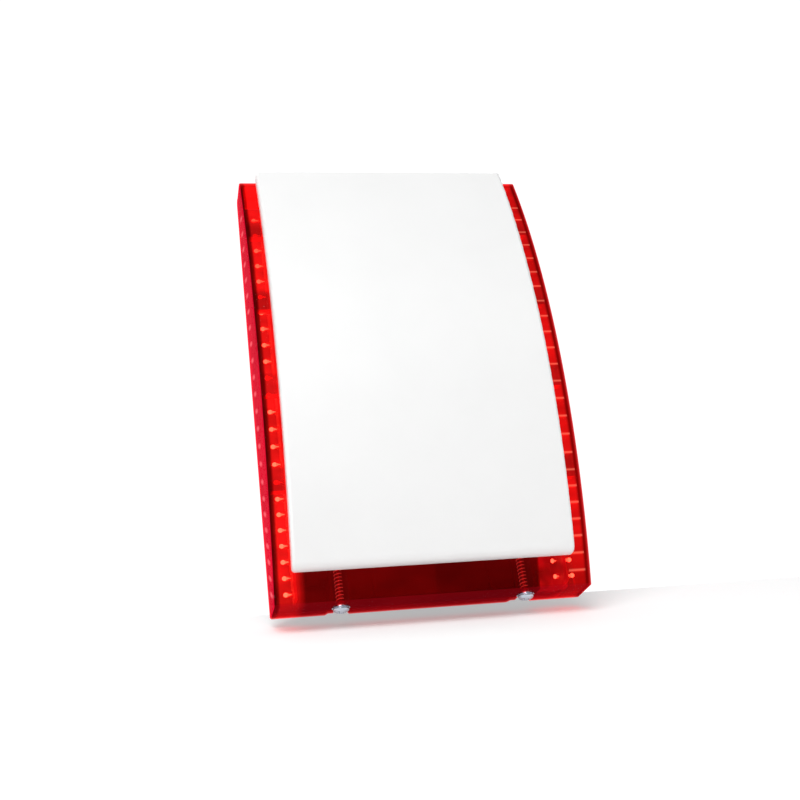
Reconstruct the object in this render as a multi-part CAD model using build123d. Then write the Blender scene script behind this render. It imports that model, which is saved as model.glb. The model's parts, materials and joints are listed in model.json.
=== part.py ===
from build123d import *
import math
import os

# Wall-mounted outdoor alarm siren with LED strobe strips.
# Millimetres. The origin is the centre of the four wall screws on the back plane.
# +X is right seen from the front, -Y is out of the wall, +Z is up.

# ---- driving dimensions -------------------------------------------------------------------
WIDTH = 200.0
HEIGHT = 305.0
WALL = 2.5
HOUSING_EDGE_R = 1.2
DEPTH_BOTTOM = 26.5
DEPTH_TOP = 24.5
BOW = 25.5

TOP = HEIGHT / 2
BOTTOM = -HEIGHT / 2

BEAD_R = 3.5
HINGE_Y = -BEAD_R
HINGE_Z = TOP - BEAD_R
HINGE_X = 74.0
LUG_WIDTH = 9.0
LUG_R = 3.2
PIN_R = 1.5
PIN_LENGTH = 23.0
RUNNING_CLEARANCE = 0.05

BASE_GAP = 0.5
BASE_THICKNESS = 3.0
BASE_HALF = WIDTH / 2 - WALL - BASE_GAP
BASE_BOTTOM = BOTTOM + WALL + 0.7
BASE_TOP = TOP - 2 * BEAD_R - 0.6
RIB = 1.5
RIB_X = 36.0
RIB_FRONT = -18.0

PANEL_HALF = 88.5
PANEL_TOP = TOP + 4.5
PANEL_BOTTOM = -134.0
PANEL_PROUD = 7.5
PANEL_THICKNESS = 2.5
PANEL_GAP = 0.6
PANEL_LIP_R = 6.0
PANEL_EDGE_R = 2.0

GRILLE_SLOT = 3.0
GRILLE_PITCH = 7.0
GRILLE_COUNT = 9
GRILLE_HALF = 36.0

CLIP_PITCH = 61.5
CLIP_FIRST_Z = -77.0
CLIP_HEIGHT = 15.0
CLIP_DEPTH = 6.0

PARTITION_X = 84.0
PARTITION_THICKNESS = 2.0
BOARD_THICKNESS = 1.6
LED_Y = -18.0
LED_R = 1.5
LED_LOW_COUNT = 7
LED_LOW_PITCH = 10.3
LED_LOW_FIRST_Z = -143.0
LED_HIGH_COUNT = 17
LED_HIGH_PITCH = 12.2
LED_HIGH_FIRST_Z = -70.0
LED_REACH = 4.6
PILOT_REACH = 2.6
PILOT_COUNT = 2

SCREW_X = 58.5
SCREW_Y = -18.0
SCREW_R = 2.5
SCREW_LENGTH = 40.0
SCREW_HEAD_R = 5.0
SCREW_HEAD_HEIGHT = 3.3
WASHER_R = 5.6
WASHER_THICKNESS = 1.0
SLOT_WIDTH = 5.8
CHANNEL_HALF = 6.5

WALL_HOLE_X = 45.0
WALL_HOLE_Z = 134.0
WALL_HOLE_R = 2.75
CABLE_Z = -128.0
CABLE_R = 5.0

PCB_HALF = 74.0
PCB_LOW = -108.0
PCB_HIGH = -36.0
PCB_BACK = -8.0
PCB_FRONT = PCB_BACK - BOARD_THICKNESS
STANDOFF_R = 3.5
STANDOFF_X = 69.0
STANDOFF_INSET = 5.0

HORN_Z = 20.0
HORN_R = 46.0
HORN_FRONT = -37.0
DRIVER_R = 19.0
DRIVER_BACK = -6.0

BATTERY_WIDTH = 97.0
BATTERY_DEPTH = 24.0
BATTERY_HEIGHT = 52.0
BATTERY_LOW = 70.0
BATTERY_BACK = -3.3

TAMPER_X = 64.0
TAMPER_Z = -12.0
POST_R = 3.0
WIRE_R = 0.9
VIAL_HALF = 17.0
VIAL_R = 3.4
VIAL_Y = -6.6
VIAL_Z = 136.0

SIDES = {"left": -1, "right": 1}


# ---- helpers ------------------------------------------------------------------------------
def save(name, *pieces):
    shape = pieces[0] if len(pieces) == 1 else Compound(children=list(pieces))
    shape.label = name
    export_step(shape, "parts/" + name + ".step")


def face_circle():
    """Centre (y, z) and radius of the arc that the front face follows."""
    y1, z1 = -DEPTH_BOTTOM, BOTTOM
    y2, z2 = -(DEPTH_BOTTOM + DEPTH_TOP) / 2 - BOW, 0.0
    y3, z3 = -DEPTH_TOP, TOP
    d = 2 * (y1 * (z2 - z3) + y2 * (z3 - z1) + y3 * (z1 - z2))
    s1, s2, s3 = y1**2 + z1**2, y2**2 + z2**2, y3**2 + z3**2
    yc = (s1 * (z2 - z3) + s2 * (z3 - z1) + s3 * (z1 - z2)) / d
    zc = (s1 * (y3 - y2) + s2 * (y1 - y3) + s3 * (y2 - y1)) / d
    return yc, zc, math.hypot(y1 - yc, z1 - zc)


FACE_Y, FACE_Z, FACE_R = face_circle()


def face_y(z, offset=0.0):
    """Y of the front face at height z, moved outward by offset along its normal."""
    return FACE_Y - math.sqrt((FACE_R + offset) ** 2 - (z - FACE_Z) ** 2)


def face_angle(z):
    """Degrees about X that turn the face's foremost point to height z."""
    return -math.degrees(math.asin((z - FACE_Z) / FACE_R))


def arc_block(x_low, x_high, z_low, z_high, offset, back):
    """Block between the plane y = back and the face arc moved outward by offset."""
    z_mid = (z_low + z_high) / 2
    low = (face_y(z_low, offset), z_low)
    mid = (face_y(z_mid, offset), z_mid)
    high = (face_y(z_high, offset), z_high)
    with BuildPart() as block:
        with BuildSketch(Plane.YZ.offset(x_low)):
            with BuildLine():
                Line((back, z_low), low)
                ThreePointArc(low, mid, high)
                Polyline(high, (back, z_high), (back, z_low))
            make_face()
        extrude(amount=x_high - x_low)
    return block.part


def box(x_low, x_high, y_low, y_high, z_low, z_high):
    centre = ((x_low + x_high) / 2, (y_low + y_high) / 2, (z_low + z_high) / 2)
    return Pos(*centre) * Box(x_high - x_low, y_high - y_low, z_high - z_low)


def mirrored_box(sign, x_near, x_far, y_low, y_high, z_low, z_high):
    """Box whose X span is x_near to x_far on the side given by sign."""
    xs = sorted((sign * x_near, sign * x_far))
    return box(xs[0], xs[1], y_low, y_high, z_low, z_high)


def rod_y(x, z, radius, y_back, y_front):
    """Cylinder along Y."""
    length = y_back - y_front
    return Pos(x, (y_back + y_front) / 2, z) * Rot(90, 0, 0) * Cylinder(radius, length)


def rod_x(x_low, x_high, y, z, radius):
    return Pos((x_low + x_high) / 2, y, z) * Rot(0, 90, 0) * Cylinder(radius, x_high - x_low)


def rod_z(x, y, z_low, z_high, radius):
    return Pos(x, y, (z_low + z_high) / 2) * Cylinder(radius, z_high - z_low)


def on_face(x, z, offset, shape):
    """Place a shape, made with its -Y side outward, on the face arc at x and height z."""
    turn = Pos(0, FACE_Y, FACE_Z) * Rot(face_angle(z), 0, 0)
    return turn * Pos(x, -(FACE_R + offset), 0) * shape


def soften(shape, radius, keep):
    """Fillet the edges of a shape for which keep(edge centre) holds."""
    edges = [e for e in shape.edges() if keep(e.center())]
    return fillet(edges, radius)


# ---- cover body ---------------------------------------------------------------------------
def bead_notch(sign):
    """Room in the rolled top edge for one hinge lug."""
    half = LUG_WIDTH / 2 + BASE_GAP
    x_low, x_high = sign * HINGE_X - half, sign * HINGE_X + half
    room = rod_x(x_low, x_high, HINGE_Y, HINGE_Z, LUG_R + BASE_GAP)
    behind = box(x_low, x_high, HINGE_Y, 1.0, HINGE_Z - 2 * BEAD_R, TOP + 1.0)
    below = box(x_low, x_high, HINGE_Y - LUG_R - BASE_GAP, 1.0, HINGE_Z - 2 * BEAD_R, HINGE_Z)
    return room + behind + below


def pin_socket(sign):
    """Hole for a hinge pin, open downward so that the cover lifts off when it is raised."""
    radius = PIN_R + RUNNING_CLEARANCE
    reach = PIN_LENGTH / 2 + 0.3
    x_low, x_high = sign * HINGE_X - reach, sign * HINGE_X + reach
    hole = rod_x(x_low, x_high, HINGE_Y, HINGE_Z, radius)
    mouth = box(x_low, x_high, HINGE_Y - radius, HINGE_Y + radius, HINGE_Z - 2 * BEAD_R, HINGE_Z)
    return hole + mouth


def screw_slot(sign):
    """Slot open to the back edge, through a pry notch, for one cover screw."""
    half = SLOT_WIDTH / 2
    x = sign * SCREW_X
    slot = rod_z(x, SCREW_Y, BOTTOM - 1, BOTTOM + WALL + 1, half)
    slot += box(x - half, x + half, SCREW_Y, 1.0, BOTTOM - 1, BOTTOM + WALL + 1)
    with BuildPart() as notch:
        with BuildSketch(Plane.XY.offset(BOTTOM - 1)):
            Polygon((x - 8, 1), (x + 8, 1), (x + 6, -4), (x - 6, -4), align=None)
        extrude(amount=WALL + 2)
    return slot + notch.part


def clip_block(sign, z):
    """Solid block behind the face border that takes a panel clip."""
    low, high = z - CLIP_HEIGHT / 2, z + CLIP_HEIGHT / 2
    xs = sorted((sign * PANEL_HALF, sign * (WIDTH / 2 - WALL)))
    block = arc_block(xs[0], xs[1], low, high, -WALL, 0.0)
    return block - arc_block(xs[0] - 1, xs[1] + 1, low - 1, high + 1, -WALL - CLIP_DEPTH, 1.0)


def panel_screw_places():
    return [(sign * 72.0, z) for sign in SIDES.values() for z in (-92.0, 33.0, 118.0)]


def lens_housing():
    outer = arc_block(-WIDTH / 2, WIDTH / 2, BOTTOM, TOP, 0.0, 0.0)
    outer = soften(outer, HOUSING_EDGE_R, lambda c: c.Y < -1.0)
    inner_x = WIDTH / 2 - WALL
    shell = outer - arc_block(-inner_x, inner_x, BOTTOM + WALL, TOP - WALL, -WALL, 5.0)
    corner = box(-WIDTH, WIDTH, HINGE_Y, 1.0, HINGE_Z, TOP + 1.0)
    shell -= corner
    shell += rod_x(-WIDTH / 2, WIDTH / 2, HINGE_Y, HINGE_Z, BEAD_R)
    for sign in SIDES.values():
        shell -= bead_notch(sign)
        shell -= pin_socket(sign)
        shell -= screw_slot(sign)
        for step in range(4):
            shell += clip_block(sign, CLIP_FIRST_Z + step * CLIP_PITCH)
    for step in range(GRILLE_COUNT):
        z = HORN_Z + (step - (GRILLE_COUNT - 1) / 2) * GRILLE_PITCH
        slot = box(-GRILLE_HALF, GRILLE_HALF, -70, -30, z - GRILLE_SLOT / 2, z + GRILLE_SLOT / 2)
        shell -= slot
    for x, z in panel_screw_places():
        shell -= on_face(x, z, 0.0, rod_y(0, 0, 1.7, WALL + 3, -3))
    return shell + tamper_post()


def tamper_post():
    """Post on the inside of the face that meets the tamper plunger."""
    tip = tamper_tip() - 0.3
    post = rod_y(TAMPER_X, TAMPER_Z, POST_R, tip, -60.0)
    z_low, z_high = TAMPER_Z - 10, TAMPER_Z + 10
    return post & arc_block(TAMPER_X - 10, TAMPER_X + 10, z_low, z_high, -WALL / 2, 0.0)


def front_panel():
    outer = arc_block(-PANEL_HALF, PANEL_HALF, PANEL_BOTTOM, PANEL_TOP, PANEL_PROUD, -10.0)
    lip_y = face_y(PANEL_BOTTOM, PANEL_PROUD)
    outer = soften(outer, PANEL_LIP_R, lambda c: c.Z < PANEL_BOTTOM + 4 and c.Y < lip_y + 2)
    outer = soften(outer, PANEL_EDGE_R, lambda c: abs(c.X) > PANEL_HALF - 1 and c.Y < -14)
    inset = PANEL_THICKNESS - PANEL_PROUD
    side = PANEL_HALF - PANEL_THICKNESS
    low = PANEL_BOTTOM + PANEL_THICKNESS
    shell = outer - arc_block(-side, side, low, PANEL_TOP + 5, -inset, 0.0)
    shell -= arc_block(-WIDTH, WIDTH, PANEL_BOTTOM - 10, TOP + 20, PANEL_GAP, 0.0)
    for x, z in panel_screw_places():
        boss = on_face(x, z, 0.0, rod_y(0, 0, 4.0, 0.0, -(PANEL_PROUD - PANEL_THICKNESS) - 0.4))
        shell += boss - arc_block(x - 9, x + 9, z - 9, z + 9, 0.0, 0.0)
        shell -= on_face(x, z, 0.0, rod_y(0, 0, PIN_R, 1.0, -4.0))
    return shell


def panel_screws():
    screws = []
    for x, z in panel_screw_places():
        shank = rod_y(0, 0, PIN_R, WALL + 0.1, -3.9)
        head = rod_y(0, 0, 3.0, WALL + 2.1, WALL + 0.1)
        screws.append(on_face(x, z, 0.0, shank + head))
    return screws


def grille_mesh():
    """Fine mesh sheet behind the sound slots, shown solid."""
    half_z = (GRILLE_COUNT / 2 + 0.6) * GRILLE_PITCH
    low, high = HORN_Z - half_z, HORN_Z + half_z
    half_x = GRILLE_HALF + 5
    sheet = arc_block(-half_x, half_x, low, high, -WALL, 0.0)
    return sheet - arc_block(-half_x - 1, half_x + 1, low - 1, high + 1, -WALL - 0.6, 1.0)


# ---- base plate ---------------------------------------------------------------------------
def hinge_lug(sign):
    x_low = sign * HINGE_X - LUG_WIDTH / 2
    x_high = sign * HINGE_X + LUG_WIDTH / 2
    lug = rod_x(x_low, x_high, HINGE_Y, HINGE_Z, LUG_R)
    lug += box(x_low, x_high, HINGE_Y - LUG_R, HINGE_Y + LUG_R, HINGE_Z - 11, HINGE_Z)
    return lug - rod_x(x_low - 1, x_high + 1, HINGE_Y, HINGE_Z, PIN_R)


def led_carrier(sign):
    """Upright wall that carries one LED board and shades it from the middle of the base."""
    near = PARTITION_X - PARTITION_THICKNESS / 2
    far = PARTITION_X + PARTITION_THICKNESS / 2
    xs = sorted((sign * near, sign * far))
    wall = arc_block(xs[0], xs[1], BASE_BOTTOM + 0.5, 136.0, -WALL - 1.2, -BASE_THICKNESS)
    return wall - rod_x(xs[0] - 1, xs[1] + 1, LED_LEAD[0][1], LED_LEAD[0][2], WIRE_R + 0.3)


def cable_cover():
    """Plain plate over the cable inlet, resting on the two ribs beside it."""
    half = SCREW_X - CHANNEL_HALF - 0.5
    cover = box(-half, half, RIB_FRONT - RIB, RIB_FRONT, BASE_BOTTOM + 0.8, PCB_LOW - 5.5)
    for sign in SIDES.values():
        cover += mirrored_box(sign, RIB_X, RIB_X + RIB, RIB_FRONT - 2 * RIB, RIB_FRONT - RIB,
                              BASE_BOTTOM + 0.8, PCB_LOW - 5.5)
    return cover


def screw_channel(sign):
    """Open channel and threaded boss for one cover screw."""
    low, shoulder, high = BASE_BOTTOM + 0.5, -124.0, -108.5
    half = CHANNEL_HALF
    x = sign * SCREW_X
    channel = box(x - half, x - half + RIB, -23.5, -1.0, low, shoulder)
    channel += box(x + half - RIB, x + half, -23.5, -1.0, low, shoulder)
    channel += box(x - half, x + half, -24.5, -1.0, shoulder, high)
    return channel - rod_z(x, SCREW_Y, shoulder - 1, high + 1, SCREW_R + RUNNING_CLEARANCE)


def corner_pocket(sign):
    """Raised corner of the base with an open recess below it."""
    inner = SCREW_X + CHANNEL_HALF
    outer = PARTITION_X - PARTITION_THICKNESS / 2 - PILOT_REACH - LED_R - 1.0
    pocket = mirrored_box(sign, inner, outer, -20.0, -1.0, -134.5, -112.0)
    pocket -= mirrored_box(sign, inner + 2, outer - 1, -17.5, -BASE_THICKNESS, -133.0, -111.0)
    return pocket


def battery_tray():
    """Shelf and two cheeks that locate the battery."""
    low = BATTERY_LOW
    half = BATTERY_WIDTH / 2
    tray = box(-half - 2, half + 2, -20.0, -BASE_THICKNESS, low - 2.0, low - 0.2)
    for sign in SIDES.values():
        tray += mirrored_box(sign, half + 0.3, half + 2.0, -16.0, -BASE_THICKNESS, low - 2.0, low + 30.0)
    return tray


def strap_post(sign):
    x, z = sign * (BATTERY_WIDTH / 2 + 6.5), BATTERY_LOW + 26
    return rod_y(x, z, 4.0, -1.0, -8.0) - rod_y(x, z, 1.4, -1.0, -9.0)


def horn_post_places():
    return [(x, z) for x in (-40.0, 40.0) for z in (HORN_Z - 36.0, HORN_Z + 36.0)]


def base_plate():
    plate = box(-BASE_HALF, BASE_HALF, -BASE_THICKNESS, 0.0, BASE_BOTTOM, BASE_TOP)
    plate = fillet(plate.edges().filter_by(Axis.Y), 2.0)
    for sign in SIDES.values():
        plate += mirrored_box(sign, BASE_HALF - RIB, BASE_HALF, -7.0, -1.0, -140.0, 136.0)
        plate += hinge_lug(sign)
        plate += screw_channel(sign)
        plate += corner_pocket(sign)
        plate += mirrored_box(sign, RIB_X, RIB_X + RIB, RIB_FRONT, -1.0, BASE_BOTTOM + 0.5, -112.0)
        plate += strap_post(sign)
        for z in (PCB_LOW + STANDOFF_INSET, PCB_HIGH - STANDOFF_INSET):
            plate += rod_y(sign * STANDOFF_X, z, STANDOFF_R, -1.0, PCB_BACK)
            plate -= rod_y(sign * STANDOFF_X, z, 1.4, -1.5, PCB_BACK - 1)
    plate += box(-RIB_X - 0.5, RIB_X + 0.5, -12.0, -1.0, -113.5, -112.0)
    for x, z in horn_post_places():
        plate += rod_y(x, z, 4.0, -1.0, -14.0)
        plate -= rod_y(x, z, 1.4, -1.5, -15.0)
    plate += box(TAMPER_X - 5, TAMPER_X + 5, -12.0, -1.0, TAMPER_Z - 11, TAMPER_Z + 11)
    for sign in SIDES.values():
        plate += mirrored_box(sign, 11.0, 13.0, -9.0, -1.0, 131.5, 140.5)
    plate -= rod_x(-VIAL_HALF, VIAL_HALF, VIAL_Y, VIAL_Z, VIAL_R)
    for x in (-WALL_HOLE_X, WALL_HOLE_X):
        for z in (-WALL_HOLE_Z, WALL_HOLE_Z):
            plate += rod_y(x, z, 6.5, -1.0, -5.0)
            plate -= rod_y(x, z, WALL_HOLE_R, 1.0, -6.0)
    plate -= rod_y(0, CABLE_Z, 8.0, 1.0, -6.0)
    plate -= rod_y(0, CABLE_Z, 10.5, 1.0, -1.2)
    plate -= gasket_ring()
    return plate


def gasket_ring():
    x_out, z_low, z_high = 91.0, -145.5, 141.5
    ring = box(-x_out, x_out, -1.2, 0.0, z_low, z_high)
    return ring - box(-x_out + 4, x_out - 4, -2.0, 1.0, z_low + 4, z_high - 4)


def cable_grommet():
    grommet = rod_y(0, CABLE_Z, 10.5, 0.0, -1.2)
    grommet += rod_y(0, CABLE_Z, 8.0, -1.0, -4.0)
    grommet += rod_y(0, CABLE_Z, 10.5, -BASE_THICKNESS, -5.0)
    return grommet - rod_y(0, CABLE_Z, CABLE_R, 1.0, -6.0)


def hinge_pins():
    half = PIN_LENGTH / 2
    return [rod_x(s * HINGE_X - half, s * HINGE_X + half, HINGE_Y, HINGE_Z, PIN_R) for s in SIDES.values()]


# ---- LED strips ---------------------------------------------------------------------------
def led_heights():
    low = [LED_LOW_FIRST_Z + i * LED_LOW_PITCH for i in range(LED_LOW_COUNT)]
    high = [LED_HIGH_FIRST_Z + i * LED_HIGH_PITCH for i in range(LED_HIGH_COUNT)]
    return low + high


def led_board(sign):
    near = PARTITION_X + PARTITION_THICKNESS / 2
    return mirrored_box(sign, near, near + BOARD_THICKNESS, -24.0, -11.0, -148.0, 131.0)


def led_body(x_root, direction, z, reach=LED_REACH):
    """Bullet LED: rim, barrel and domed tip."""
    steps = [x_root, x_root + direction * 1.0, x_root + direction * reach]
    rim = rod_x(min(steps[:2]), max(steps[:2]), LED_Y, z, LED_R + 0.4)
    barrel = rod_x(min(steps[1:]), max(steps[1:]), LED_Y, z, LED_R)
    return rim + barrel + Pos(steps[2], LED_Y, z) * Sphere(LED_R)


def led_row(sign):
    root = sign * (PARTITION_X + PARTITION_THICKNESS / 2 + BOARD_THICKNESS)
    return [led_body(root, sign, z) for z in led_heights()]


def pilot_leds():
    """Two short LEDs on the inner side of the right carrier."""
    root = PARTITION_X - PARTITION_THICKNESS / 2
    return [led_body(root, -1, z, PILOT_REACH) for z in led_heights()[:PILOT_COUNT]]


# ---- main board ---------------------------------------------------------------------------
def main_pcb():
    board = box(-PCB_HALF, PCB_HALF, PCB_FRONT, PCB_BACK, PCB_LOW, PCB_HIGH)
    for sign in SIDES.values():
        for z in (PCB_LOW + STANDOFF_INSET, PCB_HIGH - STANDOFF_INSET):
            board -= rod_y(sign * STANDOFF_X, z, 1.7, -1.0, -20.0)
    return board


def pcb_screws():
    screws = []
    for sign in SIDES.values():
        for z in (PCB_LOW + STANDOFF_INSET, PCB_HIGH - STANDOFF_INSET):
            shank = rod_y(sign * STANDOFF_X, z, 1.4, PCB_FRONT + 6.0, PCB_FRONT)
            screws.append(shank + rod_y(sign * STANDOFF_X, z, 2.8, PCB_FRONT, PCB_FRONT - 1.8))
    return screws


TERMINAL_COUNT = 12
TERMINAL_PITCH = 5.0
TERMINAL_LEFT = -48.0
TERMINAL_FRONT = PCB_FRONT - 13.0


def terminal_xs():
    return [TERMINAL_LEFT + (i + 0.5) * TERMINAL_PITCH for i in range(TERMINAL_COUNT)]


def terminal_block():
    right = TERMINAL_LEFT + TERMINAL_COUNT * TERMINAL_PITCH
    block = box(TERMINAL_LEFT, right, TERMINAL_FRONT, PCB_FRONT, -107.0, -97.0)
    for x in terminal_xs():
        block -= rod_y(x, -102.0, 2.0, TERMINAL_FRONT + 4.0, TERMINAL_FRONT - 1)
        block -= box(x - 1.6, x + 1.6, PCB_FRONT - 7.0, PCB_FRONT - 2.5, -108.0, -103.0)
    return block


def terminal_screws():
    screws = []
    for x in terminal_xs():
        head = rod_y(x, -102.0, 1.9, TERMINAL_FRONT + 4.0, TERMINAL_FRONT + 1.2)
        slot = box(x - 2, x + 2, TERMINAL_FRONT + 1.0, TERMINAL_FRONT + 2.0, -102.3, -101.7)
        screws.append(head - slot)
    return screws


def relay():
    return soften(box(38, 57, PCB_FRONT - 15.5, PCB_FRONT, -100, -84.5), 0.6, lambda c: c.Y < PCB_FRONT - 1)


def controller_chip():
    body = box(-20, -10, PCB_FRONT - 2.0, PCB_FRONT - 0.5, -72, -62)
    for i in range(8):
        z = -70.6 + i * 1.03
        body += box(-21.2, -20, PCB_FRONT - 1.2, PCB_FRONT, z - 0.2, z + 0.2)
        body += box(-10, -8.8, PCB_FRONT - 1.2, PCB_FRONT, z - 0.2, z + 0.2)
    return body


def capacitors():
    cans = []
    for x, z, radius, length in ((20, -60, 5.0, 14.0), (33, -60, 5.0, 14.0), (-44, -84, 4.0, 11.0)):
        can = rod_y(x, z, radius, PCB_FRONT, PCB_FRONT - length)
        cans.append(fillet(can.edges().group_by(Axis.Y)[0], 0.6))
    return cans


def transformer():
    core = box(-2, 16, PCB_FRONT - 14, PCB_FRONT, -90, -74)
    return core - box(1.5, 12.5, PCB_FRONT - 15, PCB_FRONT - 2, -91, -87.5) - box(
        1.5, 12.5, PCB_FRONT - 15, PCB_FRONT - 2, -76.5, -73
    )


def transformer_winding():
    return box(1.6, 12.4, PCB_FRONT - 12.5, PCB_FRONT - 2.2, -89.6, -87.6) + box(
        1.6, 12.4, PCB_FRONT - 12.5, PCB_FRONT - 2.2, -76.4, -74.4
    )


FUSE_Y = PCB_FRONT - 4.5
FUSE_Z = -50.0


def fuse():
    return rod_x(-62, -42, FUSE_Y, FUSE_Z, 2.5)


def fuse_clips():
    clips = []
    for x in (-60.5, -47.5):
        clip = box(x, x + 4, PCB_FRONT - 8.0, PCB_FRONT, FUSE_Z - 3.6, FUSE_Z + 3.6)
        clip -= rod_x(x - 1, x + 5, FUSE_Y, FUSE_Z, 2.5)
        clip -= box(x - 1, x + 5, PCB_FRONT - 9.0, FUSE_Y, FUSE_Z - 2.2, FUSE_Z + 2.2)
        clips.append(clip)
    return clips


def jumper_header():
    header = box(-40, -22, PCB_FRONT - 2.5, PCB_FRONT, -94.5, -89.5)
    for i in range(6):
        for z in (-93.3, -90.7):
            x = -38.5 + i * 3.0
            header += box(x - 0.3, x + 0.3, PCB_FRONT - 8.5, PCB_FRONT - 2.0, z - 0.3, z + 0.3)
    return header


def lead_sockets():
    """White wire-to-board sockets: battery, horn and the two LED strips."""
    sockets = []
    for x, z in ((-30.0, -44.0), (0.0, -44.0), (-66.0, -62.0), (66.0, -62.0)):
        shell = box(x - 4, x + 4, PCB_FRONT - 7.0, PCB_FRONT, z - 3, z + 3)
        sockets.append(shell - box(x - 3, x + 3, PCB_FRONT - 8.0, PCB_FRONT - 1.5, z - 2, z + 2))
    return sockets


# ---- battery ------------------------------------------------------------------------------
BATTERY_TOP = BATTERY_LOW + BATTERY_HEIGHT
BATTERY_FRONT = BATTERY_BACK - BATTERY_DEPTH


def battery_case():
    half = BATTERY_WIDTH / 2
    case = box(-half, half, BATTERY_FRONT, BATTERY_BACK, BATTERY_LOW, BATTERY_TOP)
    case = fillet(case.edges().filter_by(Axis.Z), 1.5)
    groove_z = BATTERY_TOP - 6.0
    rim = box(-half - 1, half + 1, BATTERY_FRONT - 1, BATTERY_BACK + 1, groove_z, groove_z + 0.6)
    rim -= box(-half + 0.5, half - 0.5, BATTERY_FRONT + 0.5, BATTERY_BACK - 0.5, groove_z - 1, groove_z + 2)
    return case - rim


def battery_terminals():
    y = (BATTERY_FRONT + BATTERY_BACK) / 2
    tabs = []
    for x in (-40.0, -26.0):
        tab = box(x - 2.4, x + 2.4, y - 0.4, y + 0.4, BATTERY_TOP, BATTERY_TOP + 6.5)
        tabs.append(tab - rod_y(x, BATTERY_TOP + 4.0, 0.8, 0.0, -30.0))
    return tabs


def battery_strap():
    """Flat metal strap over the battery with a foot at each end."""
    half = BATTERY_WIDTH / 2
    low, high = BATTERY_LOW + 20, BATTERY_LOW + 32
    front = BATTERY_FRONT - 0.2
    strap = box(-half - 2.9, half + 2.9, front - 0.8, front, low, high)
    for sign in SIDES.values():
        strap += mirrored_box(sign, half + 2.1, half + 2.9, front - 0.8, -8.0, low, high)
        foot = mirrored_box(sign, half + 2.1, half + 11.5, -8.8, -8.0, low, high)
        strap += foot - rod_y(sign * (half + 6.5), BATTERY_LOW + 26, 1.7, 0, -20)
    return strap


def strap_screws():
    screws = []
    for sign in SIDES.values():
        x = sign * (BATTERY_WIDTH / 2 + 6.5)
        shank = rod_y(x, BATTERY_LOW + 26, 1.4, -3.0, -8.8)
        screws.append(shank + rod_y(x, BATTERY_LOW + 26, 2.8, -8.8, -10.6))
    return screws


# ---- horn ---------------------------------------------------------------------------------
def turned(points, x=0.0, z=HORN_Z):
    """Solid of revolution about a Y axis from (radius, y) points."""
    with BuildPart() as solid:
        with BuildSketch(Plane.XY):
            Polygon(*points, align=None)
        revolve(axis=Axis.Y)
    return Pos(x, 0, z) * solid.part


HORN_THROAT_R = 14.0
HORN_THROAT_Y = -17.0
HORN_WALL = 2.0


def horn_bell():
    """Flared bell with a square-shouldered rim."""
    steps = 6
    inner, outer = [], []
    for i in range(steps + 1):
        t = i / steps
        radius = HORN_THROAT_R + (HORN_R - 3.0 - HORN_THROAT_R) * t**1.8
        y = HORN_THROAT_Y + (HORN_FRONT + 2.0 - HORN_THROAT_Y) * t
        inner.append((radius, y))
        outer.append((radius + HORN_WALL, y))
    rim = [(HORN_R, HORN_FRONT + 4.0), (HORN_R, HORN_FRONT), (HORN_R - 3.0, HORN_FRONT)]
    return turned(inner[::-1] + outer[:-1] + rim)


def horn_driver():
    """Piezo driver can behind the throat."""
    return turned(
        [
            (0, DRIVER_BACK),
            (DRIVER_R, DRIVER_BACK),
            (DRIVER_R, HORN_THROAT_Y),
            (DRIVER_R - 2.0, HORN_THROAT_Y),
            (DRIVER_R - 2.0, HORN_THROAT_Y + 2.5),
            (0, HORN_THROAT_Y + 2.5),
        ]
    )


def horn_diaphragm():
    y = HORN_THROAT_Y + 1.6
    return turned([(0, y), (DRIVER_R - 2.0, y), (DRIVER_R - 2.0, y - 0.4), (4.0, y - 0.4), (0, y - 1.0)])


def phase_plug():
    """Bullet in the throat, held by three vanes."""
    plug = turned([(0, HORN_THROAT_Y - 0.6), (7.5, HORN_THROAT_Y - 0.6), (6.0, -24.0), (2.5, -29.0), (0, -30.0)])
    for turn in (90, 210, 330):
        vane = Rot(0, turn, 0) * box(5.0, HORN_THROAT_R - 0.1, -21.0, HORN_THROAT_Y - 0.8, -0.8, 0.8)
        plug += Pos(0, 0, HORN_Z) * vane
    return plug


def horn_bracket():
    """Steel cross plate that clamps the driver to the four posts."""
    plate = box(-44, 44, -15.6, -14.0, HORN_Z - 40, HORN_Z + 40)
    plate = fillet(plate.edges().filter_by(Axis.Y), 6.0)
    plate -= rod_y(0, HORN_Z, DRIVER_R + 0.2, 0, -30)
    for sign in SIDES.values():
        plate -= mirrored_box(sign, 30, 50, -20, -10, HORN_Z - 26, HORN_Z + 26)
    plate -= box(-30, 30, -20, -10, HORN_Z + 30, HORN_Z + 50) + box(-30, 30, -20, -10, HORN_Z - 50, HORN_Z - 30)
    for x, z in horn_post_places():
        plate -= rod_y(x, z, 1.7, 0, -30)
    return plate


def horn_screws():
    screws = []
    for x, z in horn_post_places():
        screws.append(rod_y(x, z, 1.4, -5.0, -15.6) + rod_y(x, z, 2.8, -15.6, -17.4))
    return screws


# ---- tamper switch ------------------------------------------------------------------------
SWITCH_FRONT = -19.0
CAP_FRONT = -26.5


def tamper_tip():
    return CAP_FRONT


def tamper_switch_body():
    body = box(TAMPER_X - 3.2, TAMPER_X + 3.2, SWITCH_FRONT, -12.0, TAMPER_Z - 10, TAMPER_Z + 10)
    return body - rod_y(TAMPER_X, TAMPER_Z, 1.25, -14.0, SWITCH_FRONT - 1)


def tamper_plunger():
    """Stem and cap; the cap is pushed by the post inside the cover."""
    stem = rod_y(TAMPER_X, TAMPER_Z, 1.2, -17.0, CAP_FRONT + 1)
    cap = rod_y(TAMPER_X, TAMPER_Z, 3.0, CAP_FRONT + 1.2, CAP_FRONT)
    return stem + cap


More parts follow.
